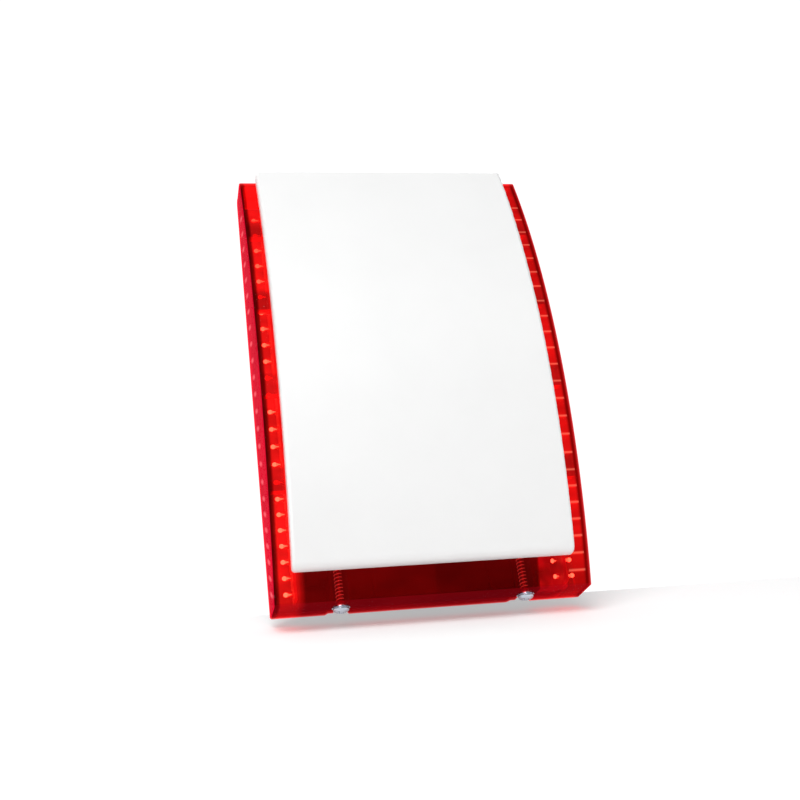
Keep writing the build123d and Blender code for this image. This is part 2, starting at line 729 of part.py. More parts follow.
def tamper_spring():
    """Coil spring round the stem, drawn as a stack of rings joined by one sleeve."""
    back, front = SWITCH_FRONT - 0.1, CAP_FRONT + 1.3
    sleeve = rod_y(TAMPER_X, TAMPER_Z, 2.2, back, front)
    return sleeve - rod_y(TAMPER_X, TAMPER_Z, 1.6, back + 1, front - 1)


# ---- level vial ---------------------------------------------------------------------------
def level_vial():
    tube = rod_x(-VIAL_HALF, VIAL_HALF, VIAL_Y, VIAL_Z, VIAL_R)
    return tube - level_fluid()


def level_fluid():
    return rod_x(-VIAL_HALF + 1.5, VIAL_HALF - 1.5, VIAL_Y, VIAL_Z, VIAL_R - 0.8)


# ---- leads --------------------------------------------------------------------------------
def corner_radii(points):
    """Arc radius at each inner corner: as large as the two runs beside it allow."""
    radii = []
    for before, corner, after in zip(points, points[1:], points[2:]):
        run_in = Vector(*corner) - Vector(*before)
        run_out = Vector(*after) - Vector(*corner)
        turn = math.radians(run_in.get_angle(run_out))
        radii.append(0.45 * min(run_in.length, run_out.length) / math.tan(turn / 2))
    return radii


def lead(points, radius=WIRE_R):
    radii = corner_radii(points)
    print("lead radii", [round(r, 1) for r in radii])
    path = FilletPolyline(*points, radius=radii)
    start = Plane(origin=path @ 0, z_dir=path % 0)
    return sweep(start * Circle(radius), path=path)


def shifted(points, dx=0.0, dy=0.0, dz=0.0):
    return [(x + dx, y + dy, z + dz) for x, y, z in points]


BATTERY_LEAD = [
    (-40.0, -15.3, 129.5),
    (-41.0, -15.6, 134.0),
    (-47.0, -15.0, 137.5),
    (-55.0, -12.5, 134.5),
    (-62.5, -8.5, 124.0),
    (-69.0, -7.0, 106.0),
    (-71.5, -6.6, 84.0),
    (-70.0, -7.4, 60.0),
    (-67.5, -8.8, 36.0),
    (-67.0, -9.5, 12.0),
    (-64.0, -12.5, -8.0),
    (-55.0, -17.0, -22.0),
    (-43.0, -19.5, -31.0),
    (-34.0, -19.0, -38.5),
    (-31.5, -16.8, -44.0),
]

BATTERY_LEAD_BLACK_START = [
    (-26.0, -15.3, 129.5),
    (-27.5, -16.6, 134.5),
    (-35.0, -18.4, 139.0),
    (-44.5, -17.8, 139.6),
]

HORN_LEAD = [
    (-6.0, -9.5, 1.2),
    (-6.0, -9.0, -7.0),
    (-5.0, -11.0, -16.0),
    (-3.0, -16.0, -25.0),
    (-1.5, -20.0, -34.0),
    (-1.2, -20.5, -41.0),
    (-1.2, -16.8, -44.0),
]

LED_LEAD = [
    (84.9, -20.0, -62.0),
    (79.0, -20.0, -62.0),
    (74.0, -24.0, -61.6),
    (68.5, -26.0, -61.6),
    (66.0, -22.5, -62.0),
    (66.0, -16.9, -62.0),
]


def main():
    os.makedirs("parts", exist_ok=True)
    save("lens_housing", lens_housing())
    save("front_panel", front_panel())
    save("panel_screws", *panel_screws())
    save("grille_mesh", grille_mesh())
    save("base_plate", base_plate())
    save("battery_tray", battery_tray())
    save("cable_cover", cable_cover())
    save("wall_gasket", gasket_ring())
    save("cable_grommet", cable_grommet())
    save("hinge_pins", *hinge_pins())
    for side, sign in SIDES.items():
        save("led_carrier_" + side, led_carrier(sign))
        save("led_board_" + side, led_board(sign))
        save("leds_" + side, *led_row(sign))
    save("pilot_leds", *pilot_leds())
    save("main_pcb", main_pcb())
    save("pcb_screws", *pcb_screws())
    save("terminal_block", terminal_block())
    save("terminal_screws", *terminal_screws())
    save("relay", relay())
    save("controller_chip", controller_chip())
    save("capacitors", *capacitors())
    save("transformer_core", transformer())
    save("transformer_winding", transformer_winding())
    save("fuse", fuse())
    save("fuse_clips", *fuse_clips())
    save("jumper_header", jumper_header())
    save("lead_sockets", *lead_sockets())
    save("battery_case", battery_case())
    save("battery_terminals", *battery_terminals())
    save("battery_strap", battery_strap())
    save("strap_screws", *strap_screws())
    save("horn_bell", horn_bell())
    save("horn_driver", horn_driver())
    save("horn_diaphragm", horn_diaphragm())
    save("phase_plug", phase_plug())
    save("horn_bracket", horn_bracket())
    save("horn_screws", *horn_screws())
    save("tamper_switch_body", tamper_switch_body())
    save("tamper_plunger", tamper_plunger())
    save("tamper_spring", tamper_spring())
    save("level_vial", level_vial())
    save("level_fluid", level_fluid())
    save("battery_lead_red", lead(BATTERY_LEAD))
    save("battery_lead_black", lead(BATTERY_LEAD_BLACK_START + shifted(BATTERY_LEAD[3:], dx=2.6, dy=-2.6)))
    save("horn_leads", lead(HORN_LEAD), lead(shifted(HORN_LEAD, dx=2.4)))
    for side, sign in SIDES.items():
        save("led_lead_" + side, lead([(sign * x, y, z) for x, y, z in LED_LEAD]))
    for side, sign in SIDES.items():
        save("cover_screw_" + side, cover_screw(sign))
        save("cover_washer_" + side, cover_washer(sign))


# ---- cover screws -------------------------------------------------------------------------
def cover_washer(sign):
    top = BOTTOM
    washer = rod_z(sign * SCREW_X, SCREW_Y, top - WASHER_THICKNESS, top, WASHER_R)
    return washer - rod_z(sign * SCREW_X, SCREW_Y, top - 3, top + 1, SCREW_R + 0.2)


def cover_screw(sign):
    """Vertical thread-forming screw with a domed pan head and a cross recess."""
    x = sign * SCREW_X
    seat = BOTTOM - WASHER_THICKNESS
    shank = rod_z(x, SCREW_Y, seat - 0.1, seat + SCREW_LENGTH, SCREW_R)
    head = rod_z(x, SCREW_Y, seat - SCREW_HEAD_HEIGHT, seat, SCREW_HEAD_R)
    head = fillet(head.edges().group_by(Axis.Z)[0], 2.4)
    low = seat - SCREW_HEAD_HEIGHT
    for turn in (45, 135):
        head -= Pos(x, SCREW_Y, low) * Rot(0, 0, turn) * Box(5.2, 1.1, 3.6)
    return shank + head


main()
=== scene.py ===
import json
import math
import random

import bmesh
import bpy
from mathutils import Matrix, Vector


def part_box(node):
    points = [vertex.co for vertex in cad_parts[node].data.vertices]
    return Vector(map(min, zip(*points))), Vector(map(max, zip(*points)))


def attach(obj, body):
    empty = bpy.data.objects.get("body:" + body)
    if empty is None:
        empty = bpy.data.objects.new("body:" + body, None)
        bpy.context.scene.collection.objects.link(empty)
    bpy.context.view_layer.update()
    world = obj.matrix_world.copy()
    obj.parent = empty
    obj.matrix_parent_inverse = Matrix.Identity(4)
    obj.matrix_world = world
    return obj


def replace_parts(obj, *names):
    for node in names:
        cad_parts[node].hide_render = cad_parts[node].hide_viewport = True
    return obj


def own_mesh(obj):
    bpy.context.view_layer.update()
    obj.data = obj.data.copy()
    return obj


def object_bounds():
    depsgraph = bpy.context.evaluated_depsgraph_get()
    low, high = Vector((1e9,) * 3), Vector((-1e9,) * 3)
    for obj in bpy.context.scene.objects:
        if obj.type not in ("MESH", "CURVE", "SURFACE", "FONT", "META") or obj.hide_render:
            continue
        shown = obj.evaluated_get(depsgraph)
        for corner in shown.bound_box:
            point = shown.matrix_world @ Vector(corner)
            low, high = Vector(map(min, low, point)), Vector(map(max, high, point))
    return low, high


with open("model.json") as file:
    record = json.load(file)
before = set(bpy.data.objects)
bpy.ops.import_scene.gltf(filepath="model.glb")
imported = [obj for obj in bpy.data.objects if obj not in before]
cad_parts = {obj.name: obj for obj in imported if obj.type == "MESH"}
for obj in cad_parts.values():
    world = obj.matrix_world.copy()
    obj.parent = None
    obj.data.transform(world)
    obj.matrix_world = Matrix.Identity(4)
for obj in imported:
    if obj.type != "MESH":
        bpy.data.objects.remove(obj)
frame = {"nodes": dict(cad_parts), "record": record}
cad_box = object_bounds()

MM = 0.001
SIDES = {"left": -1, "right": 1}
BASE = "base"
MERGE_DISTANCE = 0.001 * MM

# ---- camera, light and floor --------------------------------------------------------------
CAMERA_PLACE = Vector((-0.1761, -0.7351, -0.3508))
CAMERA_TURN = math.radians(13.44)
CAMERA_PITCH = math.radians(24.43)
CAMERA_ROLL = math.radians(-7.69)
CAMERA_LENS = 55.1
CAMERA_CLIP_START = 10 * MM

WORLD_COLOUR = (0.985, 0.993, 1.0)
WORLD_BACK = 1.1
WORLD_FRONT = 0.38
WORLD_CHANGE = (0.05, 0.45)
SOFTBOX_PLACE = Vector((-0.5, -1.3, 0.75))
SOFTBOX_TARGET = Vector((0.0, 0.0, -0.1))
SOFTBOX_SIZE = 1.4
SOFTBOX_POWER = 18.5

FLOOR_SLOPE = math.radians(27.0)
FLOOR_DROP = 1.5 * MM
FLOOR_REACH = 1.7
FLOOR_HALF_WIDTH = 1.1
FLOOR_BEHIND = 0.042
FLOOR_GLOW = 0.16


def make_camera():
    """Camera below and to the left of the siren, turned up towards it and rolled slightly."""
    flat = math.cos(CAMERA_PITCH)
    ahead = Vector((math.sin(CAMERA_TURN) * flat, math.cos(CAMERA_TURN) * flat, math.sin(CAMERA_PITCH)))
    level = ahead.cross(Vector((0, 0, 1))).normalized()
    rise = level.cross(ahead)
    right = level * math.cos(CAMERA_ROLL) + rise * math.sin(CAMERA_ROLL)
    up = rise * math.cos(CAMERA_ROLL) - level * math.sin(CAMERA_ROLL)
    camera = bpy.data.objects.new("camera", bpy.data.cameras.new("camera"))
    camera.data.lens = CAMERA_LENS
    camera.data.clip_start = CAMERA_CLIP_START
    turn = Matrix((right, up, -ahead)).transposed()
    camera.matrix_world = Matrix.Translation(CAMERA_PLACE) @ turn.to_4x4()
    bpy.context.collection.objects.link(camera)
    bpy.context.scene.camera = camera


def make_world():
    """Even studio light, stronger from behind than from the front."""
    world = bpy.data.worlds.new("studio")
    world.use_nodes = True
    tree = world.node_tree
    background = tree.nodes["Background"]
    split = tree.nodes.new("ShaderNodeSeparateXYZ")
    tree.links.new(tree.nodes.new("ShaderNodeTexCoord").outputs["Generated"], split.inputs["Vector"])
    strength = tree.nodes.new("ShaderNodeMapRange")
    strength.inputs["From Min"].default_value, strength.inputs["From Max"].default_value = WORLD_CHANGE
    strength.inputs["To Min"].default_value = WORLD_FRONT
    strength.inputs["To Max"].default_value = WORLD_BACK
    tree.links.new(split.outputs["Y"], strength.inputs["Value"])
    background.inputs["Color"].default_value = (*WORLD_COLOUR, 1.0)
    tree.links.new(strength.outputs["Result"], background.inputs["Strength"])
    bpy.context.scene.world = world
    bpy.context.scene.view_settings.view_transform = "Standard"


def make_softbox():
    """One large softbox in front of the siren, above it and to its left."""
    data = bpy.data.lights.new("softbox", "AREA")
    data.shape = "DISK"
    data.size = SOFTBOX_SIZE
    data.energy = SOFTBOX_POWER
    softbox = bpy.data.objects.new("softbox", data)
    softbox.location = SOFTBOX_PLACE
    softbox.rotation_mode = "QUATERNION"
    softbox.rotation_quaternion = (SOFTBOX_TARGET - SOFTBOX_PLACE).to_track_quat("-Z", "Y")
    bpy.context.collection.objects.link(softbox)


def make_floor():
    """Pale sheet that slopes down in front of the siren and lies level behind it."""
    downhill = Vector((0.0, -math.cos(FLOOR_SLOPE), -math.sin(FLOOR_SLOPE)))
    below_siren = Vector((0.0, 0.0, cad_box[0].z - FLOOR_DROP))
    front = below_siren + downhill * FLOOR_REACH
    crest = below_siren - downhill * FLOOR_BEHIND
    back = crest + Vector((0.0, FLOOR_REACH, 0.0))
    half_width = Vector((FLOOR_HALF_WIDTH, 0.0, 0.0))
    bm = bmesh.new()
    rows = [
        [bm.verts.new(point - half_width), bm.verts.new(point + half_width)]
        for point in (front, crest, back)
    ]
    for near, far in zip(rows, rows[1:]):
        bm.faces.new((near[0], near[1], far[1], far[0]))
    mesh = bpy.data.meshes.new("floor")
    bm.to_mesh(mesh)
    bm.free()
    mesh.materials.append(floor_material())
    floor = bpy.data.objects.new("floor", mesh)
    bpy.context.collection.objects.link(floor)


# ---- material helpers ---------------------------------------------------------------------
class Surface:
    """A node material with a Principled shader and short ways to add detail to it."""

    def __init__(self, name, colour, roughness, metallic=0.0):
        self.material = bpy.data.materials.new(name)
        self.material.use_nodes = True
        self.tree = self.material.node_tree
        self.shader = self.tree.nodes["Principled BSDF"]
        self.shader.inputs["Base Color"].default_value = (*colour, 1.0)
        self.shader.inputs["Roughness"].default_value = roughness
        self.shader.inputs["Metallic"].default_value = metallic
        self.place = self.tree.nodes.new("ShaderNodeTexCoord").outputs["Object"]
        self.height = None

    def set(self, **values):
        """Set shader sockets; an underscore in a name stands for a space."""
        for name, value in values.items():
            self.shader.inputs[name.replace("_", " ")].default_value = value
        return self

    def link(self, output, target):
        self.tree.links.new(output, target)

    def axes(self):
        """X, Y and Z of the point on the part, in metres."""
        node = self.tree.nodes.new("ShaderNodeSeparateXYZ")
        self.link(self.place, node.inputs["Vector"])
        return node.outputs["X"], node.outputs["Y"], node.outputs["Z"]

    def noise(self, scale, detail=3.0, stretch=None):
        node = self.tree.nodes.new("ShaderNodeTexNoise")
        node.inputs["Scale"].default_value = scale
        node.inputs["Detail"].default_value = detail
        place = self.place
        if stretch:
            mapping = self.tree.nodes.new("ShaderNodeMapping")
            mapping.inputs["Scale"].default_value = stretch
            self.link(place, mapping.inputs["Vector"])
            place = mapping.outputs["Vector"]
        self.link(place, node.inputs["Vector"])
        return node.outputs["Fac"]

    def ramp(self, factor, *stops):
        """Colour ramp from (position, colour or grey value) stops."""
        node = self.tree.nodes.new("ShaderNodeValToRGB")
        ramp = node.color_ramp
        while len(ramp.elements) < len(stops):
            ramp.elements.new(0.5)
        for element, (position, colour) in zip(ramp.elements, stops):
            if isinstance(colour, (int, float)):
                colour = (colour, colour, colour)
            element.position = position
            element.color = (*colour, 1.0)
        self.link(factor, node.inputs["Fac"])
        return node.outputs["Color"]

    def math(self, operation, first, second=None):
        """Math node; an argument may be a number or another node's output."""
        node = self.tree.nodes.new("ShaderNodeMath")
        node.operation = operation
        for argument, target in ((first, node.inputs[0]), (second, node.inputs[1])):
            if isinstance(argument, (int, float)):
                target.default_value = argument
            elif argument is not None:
                self.link(argument, target)
        return node.outputs["Value"]

    def hypot(self, first, second):
        """Length of the vector of two values."""
        squares = (self.math("MULTIPLY", value, value) for value in (first, second))
        return self.math("SQRT", self.math("ADD", *squares))

    def mix(self, blend, first, second):
        """Blend of two colours at full strength."""
        node = self.tree.nodes.new("ShaderNodeMix")
        node.data_type = "RGBA"
        node.blend_type = blend
        node.inputs[0].default_value = 1.0
        self.link(first, node.inputs[6])
        self.link(second, node.inputs[7])
        return node.outputs[2]

    def colour(self, output):
        self.link(output, self.shader.inputs["Base Color"])
        return self

    def rough(self, output):
        self.link(output, self.shader.inputs["Roughness"])
        return self

    def bump(self, output, distance, strength=1.0):
        """Bump on top of the bumps that the surface already has."""
        node = self.tree.nodes.new("ShaderNodeBump")
        node.inputs["Distance"].default_value = distance
        node.inputs["Strength"].default_value = strength
        self.link(output, node.inputs["Height"])
        if self.height:
            self.link(self.height, node.inputs["Normal"])
        self.height = node.outputs["Normal"]
        self.link(self.height, self.shader.inputs["Normal"])
        return self


def shade(colour, factor):
    return tuple(min(1.0, c * factor) for c in colour)


def moulded(name, colour, roughness=0.42, grain=2600.0, depth=0.02 * MM, variation=0.06):
    """Moulded plastic: fine spark-eroded grain and slight colour and gloss variation."""
    surface = Surface(name, colour, roughness)
    cloud = surface.noise(18.0, 4.0)
    low, high = shade(colour, 1 - variation), shade(colour, 1 + variation)
    surface.colour(surface.ramp(cloud, (0.3, low), (0.7, high)))
    surface.rough(surface.ramp(surface.noise(60.0, 5.0), (0.3, roughness - 0.06), (0.7, roughness + 0.06)))
    surface.bump(surface.noise(grain, 2.0), depth)
    return surface


def plated(name, colour, roughness=0.28, brush=(1.0, 1.0, 1.0)):
    """Plated sheet or turned steel with faint streaks and tarnish."""
    surface = Surface(name, colour, roughness, 1.0)
    streaks = surface.noise(900.0, 3.0, brush)
    surface.rough(surface.ramp(streaks, (0.3, roughness - 0.06), (0.7, roughness + 0.08)))
    cloud = surface.noise(120.0, 4.0)
    surface.colour(surface.ramp(cloud, (0.25, shade(colour, 0.82)), (0.75, colour)))
    surface.bump(streaks, 0.004 * MM, 0.25)
    return surface


def floor_material():
    surface = Surface("pale_floor", (0.93, 0.93, 0.93), 0.75)
    surface.colour(surface.ramp(surface.noise(1.2, 2.0), (0.3, 0.92), (0.7, 0.94)))
    surface.set(Specular_IOR_Level=0.0, Emission_Color=(1.0, 1.0, 1.0, 1.0), Emission_Strength=FLOOR_GLOW)
    return surface.material


# ---- red lens -----------------------------------------------------------------------------
LENS_TINT = (0.88, 0.32, 0.33)
LENS_ABSORPTION = (0.74, 0.0, 0.02)
LENS_DENSITY = 920.0
LENS_IOR = 1.002
LENS_GLOW_STRENGTH = 0.75

# Colours and masks of the painted light in the lens: painted glow of the strips, walls, bottom and pilot
# lamps
STRIP_GLOW = (1.0, 0.012, 0.012)
STRIP_GLOW_FROM = 60.0 * MM
STRIP_GLOW_TO = 100.5 * MM
STRIP_GLOW_RIGHT = 0.72
STRIP_GLOW_LOWEST = 0.55
FADE_FROM = -155.0 * MM
FADE_HEIGHT = 25.0 * MM
WALL_GLOW = (1.0, 0.008, 0.045)
WALL_GLOW_RIGHT = 0.05
WALL_FACE = 99.4 * MM
BOTTOM_GLOW = (0.13, 0.001, 0.004)
BOTTOM_FACE = -151.3 * MM
PILOT_GLOW = (0.34, 0.002, 0.004)
PILOT_X = 75.0 * MM
PILOT_HALF_WIDTH = 9.0 * MM
PILOT_TOP = -133.0 * MM

LED_ROWS = ((-143.0 * MM, 10.3 * MM, 7), (-70.0 * MM, 12.2 * MM, 17))
# Painted spots of LED light on the left wall and painted bars of LED light on the right border
SPOT_FACE = -99.0 * MM
SPOT_Y = -20.0 * MM
SPOT_HALF_HEIGHT = 2.4 * MM
SPOT_HALF_LENGTH = 10.0 * MM
SPOT_SLANT = 0.4
SPOT_GLOW = (0.36, 0.15, 0.17)
BAR_X = 91.0 * MM
BAR_HALF_LENGTH = 5.4 * MM
BAR_GLOW = (0.50, 0.13, 0.08)


def rows_away(surface, z):
    """Distance above the nearest LED, in half heights of its spot."""
    upper_first, upper_pitch, _ = LED_ROWS[1]
    in_upper = surface.math("GREATER_THAN", z, upper_first - 0.5 * upper_pitch)
    in_lower = surface.math("SUBTRACT", 1.0, in_upper)
    away = 0.0
    for (first, pitch, count), chosen in zip(LED_ROWS, (in_lower, in_upper)):
        steps = surface.math("MULTIPLY", surface.math("SUBTRACT", z, first), 1 / pitch)
        nearest = surface.math("MAXIMUM", surface.math("ROUND", steps), 0.0)
        nearest = surface.math("MINIMUM", nearest, count - 1.0)
        gap = surface.math("MULTIPLY", surface.math("SUBTRACT", steps, nearest), pitch / SPOT_HALF_HEIGHT)
        away = surface.math("ADD", away, surface.math("MULTIPLY", gap, chosen))
    return away


def painted_led_spots(surface):
    """Painted light: slanted spots that the LEDs throw on the left wall, and bars of it on the right
    border.
    """
    x, y, z = surface.axes()
    away = rows_away(surface, z)
    depth = surface.math("MULTIPLY", surface.math("SUBTRACT", y, SPOT_Y), 1 / SPOT_HALF_LENGTH)
    drop = surface.math("MULTIPLY", depth, SPOT_SLANT * SPOT_HALF_LENGTH / SPOT_HALF_HEIGHT)
    distance = surface.hypot(surface.math("SUBTRACT", away, drop), depth)
    on_left = surface.math("LESS_THAN", x, SPOT_FACE)
    spot = surface.math("MULTIPLY", surface.math("SUBTRACT", 1.0, distance), on_left)
    along = surface.math("ABSOLUTE", surface.math("SUBTRACT", x, BAR_X))
    on_border = surface.math("LESS_THAN", along, BAR_HALF_LENGTH)
    bar = surface.math("SUBTRACT", 1.0, surface.math("ABSOLUTE", away))
    bar = surface.math("MULTIPLY", bar, on_border)
    spots = surface.ramp(spot, (0.0, 0.0), (0.7, SPOT_GLOW))
    bars = surface.ramp(bar, (0.60, 0.0), (0.92, BAR_GLOW))
    return surface.mix("ADD", spots, bars)


def strip_glow(surface):
    """Painted light of the LED strips in the border beside them, weaker on the right and towards the
    bottom.
    """
    x, _, z = surface.axes()
    across = surface.math("SUBTRACT", surface.math("ABSOLUTE", x), STRIP_GLOW_FROM)
    across = surface.math("MULTIPLY", across, 1 / (STRIP_GLOW_TO - STRIP_GLOW_FROM))
    glow = surface.ramp(
        across,
        (0.0, shade(STRIP_GLOW, 0.14)),
        (0.50, shade(STRIP_GLOW, 0.16)),
        (0.64, shade(STRIP_GLOW, 0.90)),
        (0.88, shade(STRIP_GLOW, 0.90)),
        (0.915, shade(STRIP_GLOW, 0.15)),
    )
    # painted patches that make the painted strip light uneven
    patches = surface.ramp(surface.noise(70.0, 3.0, (0.4, 0.4, 1.0)), (0.35, 0.65), (0.60, 1.0))
    on_right = surface.math("GREATER_THAN", x, 0.0)
    height = surface.math("MULTIPLY", surface.math("SUBTRACT", z, FADE_FROM), 1 / FADE_HEIGHT)
    glow = surface.mix("MULTIPLY", glow, patches)
    glow = surface.mix("MULTIPLY", glow, surface.ramp(on_right, (0.0, 1.0), (1.0, STRIP_GLOW_RIGHT)))
    return surface.mix("MULTIPLY", glow, surface.ramp(height, (0.0, STRIP_GLOW_LOWEST), (1.0, 1.0)))


def wall_glow(surface):
    """Painted light in the outer face of the side walls, nearly all of it on the left."""
    x, _, _ = surface.axes()
    on_right = surface.math("GREATER_THAN", x, 0.0)
    side = surface.math("SUBTRACT", 1.0, surface.math("MULTIPLY", on_right, 1.0 - WALL_GLOW_RIGHT))
    # painted mottling of the painted wall light
    cloud = surface.ramp(surface.noise(28.0, 3.0), (0.3, 0.72), (0.7, 1.0))
    wall = surface.math("GREATER_THAN", surface.math("ABSOLUTE", x), WALL_FACE)
    wall = surface.math("MULTIPLY", surface.math("MULTIPLY", wall, side), cloud)
    return surface.ramp(wall, (0.0, 0.0), (1.0, WALL_GLOW))


def bottom_glow(surface):
    """Faint painted light in the bottom wall."""
    _, _, z = surface.axes()
    return surface.ramp(surface.math("LESS_THAN", z, BOTTOM_FACE), (0.0, 0.0), (1.0, BOTTOM_GLOW))


def pilot_glow(surface):
    """Painted light of the two pilot lamps around them."""
    x, _, z = surface.axes()
    aside = surface.math("ABSOLUTE", surface.math("SUBTRACT", x, PILOT_X))
    near = surface.math("LESS_THAN", aside, PILOT_HALF_WIDTH)
    near = surface.math("MULTIPLY", near, surface.math("LESS_THAN", z, PILOT_TOP))
    spill = surface.ramp(surface.noise(110.0, 1.0), (0.35, 0.35), (0.65, 1.0))
    return surface.ramp(surface.math("MULTIPLY", near, spill), (0.0, 0.0), (1.0, PILOT_GLOW))


def red_lens():
    """Polished clear red plastic: the colour deepens with the thickness, and painted glow in its emission
    stands in for the light of the LEDs.
    """
    surface = Surface("red_lens", LENS_TINT, 0.035)
    surface.set(Transmission_Weight=1.0, IOR=LENS_IOR, Coat_Weight=0.004, Coat_Roughness=0.04)
    surface.rough(surface.ramp(surface.noise(40.0, 4.0), (0.35, 0.02), (0.7, 0.06)))
    surface.bump(surface.noise(55.0, 2.0), 0.03 * MM, 0.5)
    # the painted light of the LEDs goes into the lens's emission
    glow = strip_glow(surface)
    for added in (wall_glow, bottom_glow, pilot_glow, painted_led_spots):
        glow = surface.mix("ADD", glow, added(surface))
    surface.link(glow, surface.shader.inputs["Emission Color"])
    surface.set(Emission_Strength=LENS_GLOW_STRENGTH)
    volume = surface.tree.nodes.new("ShaderNodeVolumeAbsorption")
    volume.inputs["Color"].default_value = (*LENS_ABSORPTION, 1.0)
    volume.inputs["Density"].default_value = LENS_DENSITY
    surface.link(volume.outputs["Volume"], surface.tree.nodes["Material Output"].inputs["Volume"])
    return surface.material


# ---- other materials ----------------------------------------------------------------------
# Painted glint on the thread's crests
THREAD_GLINT = (1.0, 0.72, 0.62)
THREAD_REACH = 3.0 * MM


def thread_painted_glint():
    """Zinc thread with a painted glint on its crests, standing in for the light of the strips."""
    surface = plated("thread_painted_glint", (0.76, 0.80, 0.86), 0.20)
    low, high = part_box("cover_screw_right")
    x, y, _ = surface.axes()
    across = surface.math("SUBTRACT", surface.math("ABSOLUTE", x), (low.x + high.x) / 2)
    depth = surface.math("SUBTRACT", y, (low.y + high.y) / 2)
    reach = surface.math("MULTIPLY", surface.hypot(across, depth), 1 / THREAD_REACH)
    glint = surface.ramp(reach, (0.66, 0.0), (0.80, THREAD_GLINT))
    surface.link(glint, surface.shader.inputs["Emission Color"])
    return surface.set(Emission_Strength=1.0).material


def white_shell():
    """Satin white shell with a grain too fine to see from afar."""
    surface = moulded("white_shell", (0.90, 0.90, 0.895), 0.36, 2400.0, 0.012 * MM, 0.012)
    return surface.set(IOR=1.52, Coat_Weight=0.0).material


def glowing(name, colour, strength):
    """Lit surface, a little uneven."""
    surface = Surface(name, colour, 0.4)
    surface.colour(surface.ramp(surface.noise(600.0), (0.3, shade(colour, 0.8)), (0.7, colour)))
    surface.set(Emission_Color=(*colour, 1.0), Emission_Strength=strength)
    return surface.material


def clear(name, colour, roughness, ior):
    """Glass or a clear fluid that bends light."""
    surface = Surface(name, colour, roughness)
    surface.set(Transmission_Weight=1.0, IOR=ior)
    surface.bump(surface.noise(300.0), 0.01 * MM, 0.4)
    return surface.material


def see_through(name, colour, alpha):
    """Thin tinted resin that doesn't bend light."""
    surface = Surface(name, colour, 0.15)
    surface.colour(surface.ramp(surface.noise(500.0), (0.3, shade(colour, 0.9)), (0.7, colour)))
    return surface.set(Alpha=alpha).material


def circuit_board():
    """Green solder mask over two layers of tracks that run across and along the board."""
    mask, track = (0.010, 0.115, 0.045), (0.022, 0.19, 0.075)
    surface = Surface("circuit_board", mask, 0.33)
    lines = None
    for scale, quarter in ((130.0, 0.0), (95.0, 0.5 * math.pi)):
        laid = surface.tree.nodes.new("ShaderNodeMapping")
        laid.inputs["Rotation"].default_value = (-0.5 * math.pi, quarter, 0.0)
        surface.link(surface.place, laid.inputs["Vector"])
        bricks = surface.tree.nodes.new("ShaderNodeTexBrick")
        bricks.inputs["Scale"].default_value = scale
        bricks.inputs["Mortar Size"].default_value = 0.035
        bricks.inputs["Brick Width"].default_value = 1.4
        bricks.inputs["Row Height"].default_value = 0.3
        surface.link(laid.outputs["Vector"], bricks.inputs["Vector"])
        layer = bricks.outputs["Fac"]
        lines = layer if lines is None else surface.math("MAXIMUM", lines, layer)
    patchy = surface.math("GREATER_THAN", surface.noise(90.0, 1.0), 0.48)
    lines = surface.math("MULTIPLY", lines, patchy)
    surface.colour(surface.ramp(lines, (0.2, mask), (0.8, track)))
    surface.bump(lines, 0.04 * MM, 0.5)
    surface.bump(surface.noise(2000.0), 0.01 * MM, 0.5)
    return surface.material


MATERIALS = {
    "red_lens": red_lens(),
    "white_shell": white_shell(),
    "zinc_steel": plated("zinc_steel", (0.62, 0.70, 0.79), 0.20).material,
    "mesh_steel": plated("mesh_steel", (0.50, 0.51, 0.53), 0.35).material,
    "base_plastic": moulded("base_plastic", (0.15, 0.15, 0.155), 0.5).material,
    "seal_rubber": moulded("seal_rubber", (0.03, 0.03, 0.032), 0.75, 900.0, 0.05 * MM).material,
    "led_board": moulded("led_board", (0.80, 0.80, 0.78), 0.4, 1500.0).material,
    "led_lens": see_through("led_lens", (1.0, 0.45, 0.35), 0.35),
    "circuit_board": circuit_board(),
    "terminal_green": moulded("terminal_green", (0.05, 0.33, 0.12), 0.4).material,
    "black_plastic": moulded("black_plastic", (0.022, 0.022, 0.024), 0.42).material,
    "capacitor_sleeve": moulded("capacitor_sleeve", (0.03, 0.035, 0.10), 0.25, 400.0).material,
    "ferrite": moulded("ferrite", (0.09, 0.09, 0.095), 0.6, 1200.0, 0.05 * MM).material,
    "copper_winding": plated("copper_winding", (0.75, 0.33, 0.14), 0.3, (1.0, 1.0, 8.0)).material,
    "fuse_glass": clear("fuse_glass", (0.95, 0.98, 0.98), 0.02, 1.5),
    "nickel": plated("nickel", (0.68, 0.66, 0.62), 0.3, (1.0, 1.0, 0.1)).material,
    "white_nylon": moulded("white_nylon", (0.84, 0.82, 0.76), 0.45).material,
    "battery_abs": moulded("battery_abs", (0.075, 0.08, 0.09), 0.5, 1500.0, 0.04 * MM).material,
    "diaphragm_metal": plated("diaphragm_metal", (0.80, 0.60, 0.28), 0.25).material,
    "vial_clear": clear("vial_clear", (0.95, 0.99, 0.95), 0.02, 1.49),
    "level_fluid": clear("level_fluid", (0.75, 0.97, 0.10), 0.0, 1.36),
    "red_wire": moulded("red_wire", (0.62, 0.02, 0.02), 0.3, 500.0).material,
    "black_wire": moulded("black_wire", (0.02, 0.02, 0.02), 0.3, 500.0).material,
    "grey_wire": moulded("grey_wire", (0.40, 0.41, 0.43), 0.35, 500.0).material,
}
LED_LIT = glowing("led_lit", (1.0, 0.90, 0.42), 9.5)
THREAD_PAINTED_GLINT = thread_painted_glint()


def dress_nodes():
    """Give every carried-over node the material of its slot."""
    slots = {s["node"]: s["material_slot"] for s in frame["record"]["subparts"]}
    for node, thing in frame["nodes"].items():
        thing.data.materials.clear()
        thing.data.materials.append(MATERIALS[slots[node]])


